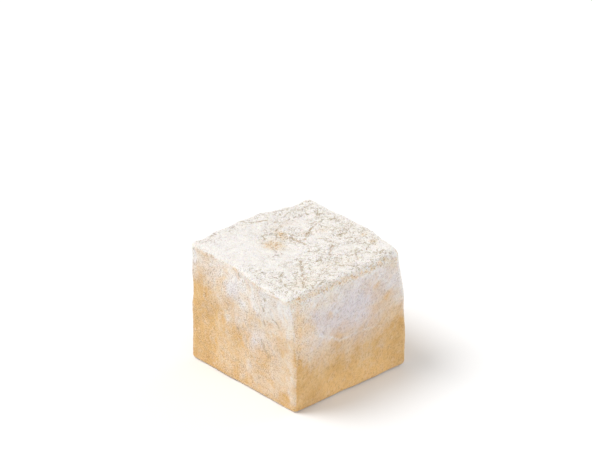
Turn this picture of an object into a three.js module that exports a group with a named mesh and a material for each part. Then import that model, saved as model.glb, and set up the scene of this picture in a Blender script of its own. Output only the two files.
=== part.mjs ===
// One cube of Turkish delight: a soft starch-and-sugar gel, cut by hand into a squat block and tossed in
// powder.
// Millimetres, +Z up. It rests on its flat base, with the origin under the middle of its bounding box.
// +X runs along the front face, and +Y from the front face to the back one.
import * as THREE from "three";
import { mergeVertices } from "three/addons/utils/BufferGeometryUtils.js";

// Driving dimensions of the straight block that the cut piece departs from.
const WIDTH = 34.8;
const DEPTH = 33.2;
const HEIGHT = 29.4;

// How finely the block's faces are divided, and how far the rows crowd towards its edges (radians, under a
// quarter turn).
const ROWS_ACROSS = 30;
const ROWS_UP = 26;
const ROW_CROWDING = 1.28;

// How far the hand-cut corners stand from those of the straight block, and how round each one has worn.
const CORNERS = [
  { side: [-1, -1, 1], lean: [-0.5, 0.1, -0.2], round: 0.9 },
  { side: [1, -1, 1], lean: [-0.8, 1.5, 0.1], round: 1.8 },
  { side: [-1, 1, 1], lean: [0.6, -0.5, 0.1], round: 1.0 },
  { side: [1, 1, 1], lean: [0.6, 0.5, -0.3], round: 1.3 },
  { side: [-1, -1, -1], lean: [2.2, 0.3, 0.0], round: 1.0 },
  { side: [1, -1, -1], lean: [0.4, -0.9, 0.0], round: 1.4 },
  { side: [-1, 1, -1], lean: [-0.2, 0.9, 0.0], round: 1.1 },
  { side: [1, 1, -1], lean: [0.6, 0.6, 0.0], round: 1.3 },
];

// Where the soft block was squeezed or pulled out of true: the middle of each push, its reach along each
// axis, and how far it carries the skin there.
const PUSHES = [
  { at: [0, 0, 14.7], reach: [9, 8, 5], by: [0, 0, -0.5] }, // the top sags in the middle
  { at: [-3, 16.6, 14.7], reach: [9, 5, 5], by: [0, 1.2, 0.8] }, // its back edge bows out
  { at: [17.4, -4, 14.7], reach: [5, 8, 5], by: [0.7, 0, 0.8] }, // and its right edge
  { at: [6, -16.6, 14.7], reach: [6, 4, 4], by: [0, -0.25, -0.2] }, // its front edge sags
  { at: [-17.4, 7.2, 14.7], reach: [2.4, 3.6, 2.4], by: [1.0, 0, -0.2] }, // nicks in the top left edge
  { at: [-17.4, 0.3, 14.7], reach: [2.6, 3.2, 2.6], by: [1.0, 0, 0.1] },
  { at: [-17.4, -16.6, -3], reach: [5, 5, 8], by: [0.8, -0.7, 0] }, // the near upright edge bows right
  { at: [-17.4, -16.6, 8.5], reach: [3, 3, 4.5], by: [0.8, -0.6, 0] },
  { at: [-4, -16.6, 4], reach: [8, 5, 5], by: [0, -0.45, 0] }, // front face
  { at: [7, -16.6, -6], reach: [8, 5, 4], by: [0, 0.5, 0] },
  { at: [17.4, -16.6, 2], reach: [6, 6, 9], by: [0.9, -0.3, 0] }, // its right edge
  { at: [17.4, -16.6, 14.7], reach: [4, 6, 5], by: [-0.8, 0.2, -0.3] }, // drawn in at the top
  { at: [-17.4, 2, 1], reach: [5, 7, 8], by: [-0.35, 0, 0] }, // left face
  { at: [-17.4, 16.6, 4], reach: [5, 5, 7], by: [-0.4, 0.4, 0] }, // its back edge
  { at: [17.4, -2, -3], reach: [5, 8, 6], by: [-0.45, 0, 0] }, // right face
  { at: [17.4, 8, 6], reach: [5, 5, 5], by: [0.4, 0, 0] },
  { at: [3, 16.6, 0], reach: [9, 5, 7], by: [0, 0.5, 0] }, // back face
  { at: [-9, 16.6, -7], reach: [6, 5, 4], by: [0, -0.4, 0] },
];

// Lines drawn in the soft surface: a crease presses in, and a lip, of negative depth, stands out.
const LINES = [
  { from: [-17.4, -16.6, 14.7], to: [-17.4, 16.6, 14.7], width: 1.5, depth: -0.28 }, // the knife's lips
  { from: [-17.4, 16.6, 14.7], to: [17.4, 16.6, 14.7], width: 1.6, depth: -0.3 },
  { from: [17.4, 16.6, 14.7], to: [17.4, -9, 14.7], width: 1.5, depth: -0.22 },
  { from: [-14.6, -14.1, 14.7], to: [-4.2, -5.6, 14.2], width: 2, depth: 0.26 }, // cracks across the top
  { from: [-4.2, -5.6, 14.2], to: [1.4, 4.2, 14.2], width: 2, depth: 0.22 },
  { from: [1.4, 4.2, 14.2], to: [12.6, 6.4, 14.4], width: 2, depth: 0.24 },
  { from: [1.4, 4.2, 14.2], to: [-7.8, 11.6, 14.4], width: 2, depth: 0.2 },
  { from: [-14.2, -16.6, 0.4], to: [-3.6, -16.9, -1.2], width: 2, depth: 0.26 }, // crease across the front
  { from: [-3.6, -16.9, -1.2], to: [8.6, -16.4, 1.6], width: 2, depth: 0.22 },
  { from: [-17.4, -9.5, 9.6], to: [-17.0, -7.6, -9.2], width: 1.8, depth: 0.24 }, // drag marks, left side
  { from: [-17.4, 1.8, 2.2], to: [-17.2, -0.4, -11.4], width: 1.8, depth: 0.26 },
  { from: [17.2, 3.4, 10.8], to: [17.4, 6.2, -8.4], width: 1.8, depth: 0.26 }, // right side
  { from: [-6.4, 16.9, 9.2], to: [-4.8, 16.8, -9.6], width: 1.8, depth: 0.26 }, // back
  { from: [8.8, 16.9, 5.4], to: [12.2, 16.8, -4.6], width: 1.8, depth: 0.22 },
];

// The skin's slow waviness: waves that shorten and weaken one after another, each turned by the golden
// angle.
const WAVES = 6;
const LONGEST_WAVE = 15;
const HIGHEST_WAVE = 0.15;
const WAVE_FADE = 0.8;
const GOLDEN_ANGLE = 2.39996;

// Furrows that the blade drags down the left and right sides, and aslant down the front and back.
const FURROW_SPACING = 5.3;
const FURROW_HEIGHT = 0.05;
const FURROW_SLANT = 0.7; // how far one runs to the right as it rises
const FURROW_SWAY = 1.6; // radians that a furrow wanders
const SWAY_LENGTH = 27;

const half = new THREE.Vector3(WIDTH, DEPTH, HEIGHT).divideScalar(2);

/** Share of a corner at a point: 1 at that corner, 0 at the other seven, and linear between. */
function cornerShare(corner, p) {
  const along = (axis, i) => (1 + (corner.side[i] * p[axis]) / half[axis]) / 2;
  return along("x", 0) * along("y", 1) * along("z", 2);
}

/** How round the block's edges are near a point. */
function roundAt(p) {
  return CORNERS.reduce((sum, corner) => sum + corner.round * cornerShare(corner, p), 0);
}

/** How far the leaning corners carry a point of the straight block. */
function leanAt(p) {
  const lean = new THREE.Vector3();
  for (const corner of CORNERS) {
    lean.addScaledVector(new THREE.Vector3(...corner.lean), cornerShare(corner, p));
  }
  return lean;
}

/** How far the pushes carry the skin at a point. */
function pushAt(p) {
  const push = new THREE.Vector3();
  for (const { at, reach, by } of PUSHES) {
    const off = new THREE.Vector3(...at).sub(p).divide(new THREE.Vector3(...reach));
    push.addScaledVector(new THREE.Vector3(...by), Math.exp(-off.lengthSq() / 2));
  }
  return push;
}

/** Height of the lips, less the depth of the creases, at a point. */
function lineAt(p) {
  return LINES.reduce((sum, { from, to, width, depth }) => {
    const line = new THREE.Line3(new THREE.Vector3(...from), new THREE.Vector3(...to));
    const away = line.closestPointToPoint(p, true, new THREE.Vector3()).distanceTo(p);
    return sum - depth * Math.exp(-((away / width) ** 2));
  }, 0);
}

/** The skin's waviness at a point. */
function wavesAt(p) {
  let sum = 0;
  for (let k = 0; k < WAVES; k++) {
    const turn = k * GOLDEN_ANGLE;
    const tilt = Math.sin(turn * 2) * 0.7;
    const heading = new THREE.Vector3(
      Math.cos(turn) * Math.cos(tilt),
      Math.sin(turn) * Math.cos(tilt),
      Math.sin(tilt),
    );
    const length = LONGEST_WAVE * WAVE_FADE ** k;
    sum += HIGHEST_WAVE * WAVE_FADE ** k * Math.sin((2 * Math.PI * heading.dot(p)) / length + turn);
  }
  return sum;
}

/** The blade's furrows at a point of a side face; none on the top. */
function furrowsAt(p, out) {
  const along = (p.x - FURROW_SLANT * p.z) * Math.abs(out.y) + p.y * Math.abs(out.x);
  const sway = FURROW_SWAY * Math.sin((2 * Math.PI * p.z) / SWAY_LENGTH + along / FURROW_SPACING);
  return FURROW_HEIGHT * (1 - out.z ** 2) * Math.sin((2 * Math.PI * along) / FURROW_SPACING + sway);
}

/** Carries a point of the straight block's surface to the skin of the cut piece. */
function skinPoint(p) {
  const round = roundAt(p);
  const inner = p.clone().clamp(
    half.clone().negate().addScalar(round),
    half.clone().subScalar(round),
  );
  const out = p.clone().sub(inner).normalize();
  const skin = inner.addScaledVector(out, round);
  const fade = Math.min(1, 1 + out.z); // the base stays flat
  const relief = lineAt(skin) + wavesAt(skin) + furrowsAt(skin, out);
  const push = pushAt(skin);
  return skin.add(leanAt(p)).addScaledVector(push, fade).addScaledVector(out, relief * fade);
}

/** Moves a row from its even spacing, -1 to 1, towards the nearer edge. */
function crowded(row) {
  return Math.sin(row * ROW_CROWDING) / Math.sin(ROW_CROWDING);
}

/** The block's closed skin, standing on its base with the origin under the middle of its box. */
function cubeGeometry() {
  const box = new THREE.BoxGeometry(2, 2, 2, ROWS_ACROSS, ROWS_ACROSS, ROWS_UP);
  box.deleteAttribute("normal");
  box.deleteAttribute("uv");
  const geometry = mergeVertices(box, 1e-5);
  const position = geometry.getAttribute("position");
  const p = new THREE.Vector3();
  for (let i = 0; i < position.count; i++) {
    p.fromBufferAttribute(position, i);
    p.set(crowded(p.x), crowded(p.y), crowded(p.z)).multiply(half);
    position.setXYZ(i, ...skinPoint(p));
  }
  geometry.computeBoundingBox();
  const middle = geometry.boundingBox.getCenter(new THREE.Vector3());
  geometry.translate(-middle.x, -middle.y, half.z);
  geometry.computeVertexNormals();
  return geometry;
}

const powderedGel = new THREE.MeshStandardMaterial({ color: 0xece0cd, roughness: 0.93, metalness: 0 });

const cube = new THREE.Mesh(cubeGeometry(), powderedGel);
cube.name = "delight_cube";

const part = new THREE.Group();
part.add(cube);

export default part;
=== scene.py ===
"""Dressed model of one cube of Turkish delight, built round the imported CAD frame.

The cube is a hand-cut block of amber starch gel, tossed in sugar powder. The block's own shape follows the
same rules and sizes as its solid in the frame. On it lies the coat: thick and cracked on the top, thin and
dragged by the knife on the sides, rubbed off along some edges. Loose grains and clumps cling to it.

Sizes are in millimetres unless a name says otherwise, and turn into metres when a mesh is written.
"""

from __future__ import annotations

import logging
import math
from collections.abc import Sequence
from dataclasses import dataclass
from enum import Enum
from typing import Any, ClassVar

import bmesh
import bpy
import numpy as np
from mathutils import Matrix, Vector, noise

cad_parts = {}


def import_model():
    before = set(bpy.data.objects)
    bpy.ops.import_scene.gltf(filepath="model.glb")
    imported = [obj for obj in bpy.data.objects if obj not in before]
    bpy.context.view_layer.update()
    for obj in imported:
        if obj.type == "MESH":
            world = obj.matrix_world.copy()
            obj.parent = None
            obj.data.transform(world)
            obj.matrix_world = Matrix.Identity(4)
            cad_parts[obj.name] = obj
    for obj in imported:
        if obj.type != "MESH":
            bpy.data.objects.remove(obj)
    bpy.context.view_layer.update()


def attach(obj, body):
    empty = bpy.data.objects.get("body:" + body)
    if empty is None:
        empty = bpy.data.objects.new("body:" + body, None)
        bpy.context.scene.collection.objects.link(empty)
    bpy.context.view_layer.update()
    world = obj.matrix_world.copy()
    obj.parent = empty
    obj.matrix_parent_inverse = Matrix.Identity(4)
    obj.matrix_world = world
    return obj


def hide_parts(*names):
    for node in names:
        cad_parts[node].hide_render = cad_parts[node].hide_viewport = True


LOG = logging.getLogger("delight")

NODE = "delight_cube"
BODY = "root"
MM = 0.001  # metres in a millimetre

CLOUD_STEP = np.array([17.3, -5.1, 9.7])  # how far apart two seeds of a cloud read the same noise
NET_STEP = np.array([3.7, 11.9, -7.3])  # and two seeds of a net of cells
FACING = (0.5, 0.8)  # how much the skin faces up, 0 to 1, where the top fades in and where it is full
SIDE = (0.3, 0.7)  # the same for a side against the one opposite

Triple = tuple[float, float, float]
Colour = tuple[float, float, float]


# ------------------------------------------------------------------------------
# Small tools for points on the skin


def smooth_step(low: float, high: float, values: np.ndarray) -> np.ndarray:
    """Rises smoothly from 0 at low to 1 at high; low may be the larger.

    Args:
        low: the value that gives 0.
        high: the value that gives 1.
        values: any array.

    Returns:
        An array of the same shape.
    """
    t = np.clip((values - low) / (high - low), 0.0, 1.0)
    return t * t * (3.0 - 2.0 * t)


def cloud(points: np.ndarray, size: float | Triple, octaves: int = 3, seed: int = 0) -> np.ndarray:
    """Smooth noise, about -1 to 1, over points in millimetres.

    Args:
        points: one row of x, y, z for each point.
        size: length of its largest lumps, or one length for each axis.
        octaves: how many times finer lumps are added, each half as large and half as strong.
        seed: a different pattern for each number.

    Returns:
        One value for each point.
    """
    place = points / np.asarray(size, float) + CLOUD_STEP * (seed + 1)
    return np.array([noise.fractal(p, 1.0, 2.0, octaves) for p in place.tolist()])


def cell_gaps(points: np.ndarray, size: float, seed: int = 0) -> np.ndarray:
    """How far each point is inside its cell of an uneven net: 0 on the net's lines.

    Args:
        points: one row of x, y, z for each point.
        size: how wide a cell is.
        seed: a different net for each number.

    Returns:
        One distance for each point.
    """
    place = points / size + NET_STEP * (seed + 1)
    near = np.array([noise.voronoi(p)[0][:2] for p in place.tolist()])
    return (near[:, 1] - near[:, 0]) * size


def shaky(points: np.ndarray, size: float, by: float, seed: int = 0) -> np.ndarray:
    """Moves points about by noise, so that what is drawn through them has ragged edges.

    Args:
        points: one row of x, y, z for each point.
        size: length of the largest lumps of the noise.
        by: how far a point may move.
        seed: a different pattern for each number.

    Returns:
        The moved points.
    """
    moved = points.copy()
    for axis in range(3):
        moved[:, axis] += by * cloud(points, size, 3, seed + 31 * (axis + 1))
    return moved


@dataclass(frozen=True)
class Blot:
    """A soft-edged patch on the skin.

    Attributes:
        at: its middle.
        reach: how far it spreads along each axis.
        strength: its value in the middle, negative where it takes away.
    """

    at: Triple
    reach: Triple
    strength: float

    def over(self, points: np.ndarray) -> np.ndarray:
        """The patch's value at each of some points."""
        off = (points - np.array(self.at)) / np.array(self.reach)
        return self.strength * np.exp(-(off**2).sum(1) / 2)


@dataclass(frozen=True)
class Stroke:
    """A line drawn on the skin through a few points.

    Attributes:
        through: the points.
        width: distance from the line at which it has faded to about a third.
        strength: its value on the line, negative where it takes away.
    """

    through: tuple[Triple, ...]
    width: float
    strength: float

    def over(self, points: np.ndarray) -> np.ndarray:
        """The line's value at some points.

        Args:
            points: one row of x, y, z for each point.

        Returns:
            One value for each point.
        """
        away = np.full(len(points), np.inf)
        for start, end in zip(self.through, self.through[1:]):
            base, run = np.array(start), np.array(end) - np.array(start)
            share = np.clip((points - base) @ run / (run @ run), 0.0, 1.0)
            away = np.minimum(away, np.linalg.norm(points - base - share[:, None] * run, axis=1))
        return self.strength * np.exp(-((away / self.width) ** 2))


def blots(*rows: tuple[float, ...]) -> tuple[Blot, ...]:
    """Blots from rows of seven numbers: the middle's place, the reaches and the strength."""
    return tuple(Blot(row[:3], row[3:6], row[6]) for row in rows)


def strokes(*rows: tuple[Any, ...]) -> tuple[Stroke, ...]:
    """Strokes from rows of a width, a strength and the points."""
    return tuple(Stroke(row[2:], row[0], row[1]) for row in rows)


def total(marks: Sequence[Blot | Stroke], points: np.ndarray) -> np.ndarray:
    """Sum of some marks' values at each point."""
    return sum((mark.over(points) for mark in marks), np.zeros(len(points)))


def turned_at_random(count: int, draw: np.random.Generator) -> np.ndarray:
    """Turning matrices in directions drawn evenly.

    Args:
        count: how many.
        draw: what draws them.

    Returns:
        One 3 by 3 matrix for each.
    """
    turns = draw.standard_normal((count, 4))
    w, x, y, z = (turns / np.linalg.norm(turns, axis=1)[:, None]).T
    rows = (
        (1 - 2 * (y * y + z * z), 2 * (x * y - w * z), 2 * (x * z + w * y)),
        (2 * (x * y + w * z), 1 - 2 * (x * x + z * z), 2 * (y * z - w * x)),
        (2 * (x * z - w * y), 2 * (y * z + w * x), 1 - 2 * (x * x + y * y)),
    )
    return np.moveaxis(np.array(rows), 2, 0)


def placed(name: str, mesh: bpy.types.Mesh, finish: bpy.types.Material) -> bpy.types.Object:
    """Puts a finished mesh in the scene.

    Args:
        name: the new object's name.
        mesh: its mesh, with its place in its points.
        finish: its material.

    Returns:
        The new object, at the origin.
    """
    mesh.materials.append(finish)
    mesh.update()
    piece = bpy.data.objects.new(name, mesh)
    bpy.context.scene.collection.objects.link(piece)
    return piece


# ------------------------------------------------------------------------------
# The gel block


@dataclass(frozen=True)
class Corner:
    """A corner of the cut block.

    Attributes:
        side: on which side of each axis it is.
        lean: how far it stands from the straight block's corner.
        rounding: how round it has worn.
    """

    side: Triple
    lean: Triple
    rounding: float


@dataclass(frozen=True)
class Push:
    """A place where the soft block was squeezed or pulled out of true.

    Attributes:
        at: its middle.
        reach: how far it spreads along each axis.
        by: how far it carries the skin there.
    """

    at: Triple
    reach: Triple
    by: Triple


@dataclass(frozen=True)
class CutBlock:
    """The block of gel as it was cut, in the same way as its solid in the frame.

    Its own frame has the straight block's middle at the origin. +X runs along the front face, and +Y from
    the front face to the back one. A line of positive strength is a lip, and any other a crease.

    Attributes:
        width, depth, height: the straight block's sides.
        row_crowding: how far the mesh's rows crowd towards the edges, in radians under a quarter turn.
        corners, pushes, lines: how the cut block departs from the straight one.
        waves: how many waves make up the skin's slow waviness.
        longest_wave, highest_wave: length and height of the first.
        wave_fade: how much shorter and lower each next one is.
        wave_tilt: how far the waves' headings rise and fall, in radians.
        golden_angle: turn from one wave's heading to the next.
        furrow_spacing, furrow_height: of the blade's furrows.
        furrow_slant: how far one runs to the right as it rises.
        furrow_sway: how far one wanders, in radians.
        sway_length: height over which it wanders to and fro once.
    """

    width: float = 34.8
    depth: float = 33.2
    height: float = 29.4
    row_crowding: float = 0.6
    corners: tuple[Corner, ...] = (
        Corner((-1, -1, 1), (-0.5, 0.1, -0.2), 0.9),
        Corner((1, -1, 1), (-0.8, 1.5, 0.1), 1.8),
        Corner((-1, 1, 1), (0.6, -0.5, 0.1), 1.0),
        Corner((1, 1, 1), (0.6, 0.5, -0.3), 1.3),
        Corner((-1, -1, -1), (2.2, 0.3, 0.0), 1.0),
        Corner((1, -1, -1), (0.4, -0.9, 0.0), 1.4),
        Corner((-1, 1, -1), (-0.2, 0.9, 0.0), 1.1),
        Corner((1, 1, -1), (0.6, 0.6, 0.0), 1.3),
    )
    pushes: tuple[Push, ...] = (
        Push((0, 0, 14.7), (9, 8, 5), (0, 0, -0.5)),  # the top sags, and its edges bow and have nicks
        Push((-3, 16.6, 14.7), (9, 5, 5), (0, 1.2, 0.8)),
        Push((17.4, -4, 14.7), (5, 8, 5), (0.7, 0, 0.8)),
        Push((6, -16.6, 14.7), (6, 4, 4), (0, -0.25, -0.2)),
        Push((-17.4, 7.2, 14.7), (2.4, 3.6, 2.4), (1.0, 0, -0.2)),
        Push((-17.4, 0.3, 14.7), (2.6, 3.2, 2.6), (1.0, 0, 0.1)),
        Push((-17.4, -16.6, -3), (5, 5, 8), (0.8, -0.7, 0)),  # near upright edge
        Push((-17.4, -16.6, 8.5), (3, 3, 4.5), (0.8, -0.6, 0)),
        Push((-4, -16.6, 4), (8, 5, 5), (0, -0.45, 0)),  # front face and its right edge
        Push((7, -16.6, -6), (8, 5, 4), (0, 0.5, 0)),
        Push((17.4, -16.6, 2), (6, 6, 9), (0.9, -0.3, 0)),
        Push((17.4, -16.6, 14.7), (4, 6, 5), (-0.8, 0.2, -0.3)),
        Push((-17.4, 2, 1), (5, 7, 8), (-0.35, 0, 0)),  # left, right and back faces
        Push((-17.4, 16.6, 4), (5, 5, 7), (-0.4, 0.4, 0)),
        Push((17.4, -2, -3), (5, 8, 6), (-0.45, 0, 0)),
        Push((17.4, 8, 6), (5, 5, 5), (0.4, 0, 0)),
        Push((3, 16.6, 0), (9, 5, 7), (0, 0.5, 0)),
        Push((-9, 16.6, -7), (6, 5, 4), (0, -0.4, 0)),
    )
    lines: tuple[Stroke, ...] = (
        Stroke(((-17.4, -16.6, 14.7), (-17.4, 16.6, 14.7)), 1.5, 0.28),  # the knife's lips
        Stroke(((-17.4, 16.6, 14.7), (17.4, 16.6, 14.7)), 1.6, 0.3),
        Stroke(((17.4, 16.6, 14.7), (17.4, -9, 14.7)), 1.5, 0.22),
        Stroke(((-14.6, -14.1, 14.7), (-4.2, -5.6, 14.2)), 2, -0.26),  # cracks across the top
        Stroke(((-4.2, -5.6, 14.2), (1.4, 4.2, 14.2)), 2, -0.22),
        Stroke(((1.4, 4.2, 14.2), (12.6, 6.4, 14.4)), 2, -0.24),
        Stroke(((1.4, 4.2, 14.2), (-7.8, 11.6, 14.4)), 2, -0.2),
        Stroke(((-14.2, -16.6, 0.4), (-3.6, -16.9, -1.2)), 2, -0.26),  # crease across the front
        Stroke(((-3.6, -16.9, -1.2), (8.6, -16.4, 1.6)), 2, -0.22),
        Stroke(((-17.4, -9.5, 9.6), (-17.0, -7.6, -9.2)), 1.8, -0.24),  # drag marks on the other sides
        Stroke(((-17.4, 1.8, 2.2), (-17.2, -0.4, -11.4)), 1.8, -0.26),
        Stroke(((17.2, 3.4, 10.8), (17.4, 6.2, -8.4)), 1.8, -0.26),
        Stroke(((-6.4, 16.9, 9.2), (-4.8, 16.8, -9.6)), 1.8, -0.26),
        Stroke(((8.8, 16.9, 5.4), (12.2, 16.8, -4.6)), 1.8, -0.22),
    )
    waves: int = 6
    longest_wave: float = 15.0
    highest_wave: float = 0.15
    wave_fade: float = 0.8
    wave_tilt: float = 0.7
    golden_angle: float = 2.39996
    furrow_spacing: float = 5.3
    furrow_height: float = 0.05
    furrow_slant: float = 0.7
    furrow_sway: float = 1.6
    sway_length: float = 27.0

    @property
    def half(self) -> np.ndarray:
        """Half of the straight block's sides."""
        return np.array([self.width, self.depth, self.height]) / 2

    def _shares(self, points: np.ndarray) -> list[np.ndarray]:
        """Each corner's share in the points: 1 at that corner, 0 at the others, and linear between."""
        return [((1 + np.array(corner.side) * points / self.half) / 2).prod(1) for corner in self.corners]

    def _waves(self, points: np.ndarray) -> np.ndarray:
        """The skin's slow waviness.

        Args:
            points: points on the skin, with the origin in the block's middle.

        Returns:
            How far each one moves outwards.
        """
        height = np.zeros(len(points))
        for k in range(self.waves):
            turn = k * self.golden_angle
            tilt = self.wave_tilt * math.sin(2 * turn)
            level = math.cos(tilt)
            heading = np.array([math.cos(turn) * level, math.sin(turn) * level, math.sin(tilt)])
            length = self.longest_wave * self.wave_fade**k
            wave = np.sin(math.tau * (points @ heading) / length + turn)
            height += self.highest_wave * self.wave_fade**k * wave
        return height

    def _furrows(self, points: np.ndarray, out: np.ndarray) -> np.ndarray:
        """The blade's furrows on the side faces.

        Args:
            points: points on the skin, with the origin in the block's middle.
            out: the directions out of the block there.

        Returns:
            How far each point moves outwards.
        """
        x, y, z = points.T
        along = (x - self.furrow_slant * z) * np.abs(out[:, 1]) + y * np.abs(out[:, 0])
        sway = self.furrow_sway * np.sin(math.tau * z / self.sway_length + along / self.furrow_spacing)
        furrows = np.sin(math.tau * along / self.furrow_spacing + sway)
        return self.furrow_height * (1 - out[:, 2] ** 2) * furrows

    def skin(self, rows: np.ndarray) -> tuple[np.ndarray, np.ndarray]:
        """Carries points of a cube from -1 to 1 to the block's skin, standing on its base.

        Args:
            rows: points on the surface of the cube from -1 to 1.

        Returns:
            The points on the skin, with the origin under the middle of their box, and the directions out
            of it.
        """
        points = np.sin(rows * self.row_crowding) / math.sin(self.row_crowding) * self.half
        shares = self._shares(points)
        rounding = sum(share * corner.rounding for share, corner in zip(shares, self.corners))[:, None]
        inner = np.clip(points, rounding - self.half, self.half - rounding)
        out = points - inner
        out /= np.linalg.norm(out, axis=1)[:, None]
        skin = inner + out * rounding
        push = np.zeros_like(skin)
        for one in self.pushes:
            off = (skin - np.array(one.at)) / np.array(one.reach)
            push += np.exp(-(off**2).sum(1) / 2)[:, None] * np.array(one.by)
        relief = total(self.lines, skin) + self._waves(skin) + self._furrows(skin, out)
        lean = sum(share[:, None] * np.array(corner.lean) for share, corner in zip(shares, self.corners))
        fade = np.minimum(1.0, 1.0 + out[:, 2])[:, None]
        carried = skin + lean + (push + out * relief[:, None]) * fade
        middle = (carried.min(0) + carried.max(0)) / 2
        carried -= np.array([middle[0], middle[1], -self.half[2]])
        return carried, out


# ------------------------------------------------------------------------------
# The coat of powder


@dataclass
class Coat:
    """What the powder does at each point of the skin.

    Attributes:
        relief: how far the coat's surface stands out of the gel's.
        cover: how much of the gel it hides, 0 to 1.
        cool: how far it is the finest powder, which looks lavender, 0 to 1.
        painted_glow: how much light is painted as coming back out of the gel, 0 to 1.
        grit: how coarse its grains are, and how deep the painted shade between them is, 0 to 1.
        pitted: how many pits it has, 0 to 1.
        crack: how near the middle of a crack is, 0 to 1.
    """

    relief: np.ndarray
    cover: np.ndarray
    cool: np.ndarray
    painted_glow: np.ndarray
    grit: np.ndarray
    pitted: np.ndarray
    crack: np.ndarray

    layers: ClassVar[tuple[str, ...]] = ("cover", "cool", "painted_glow", "grit", "pitted", "crack")


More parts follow.
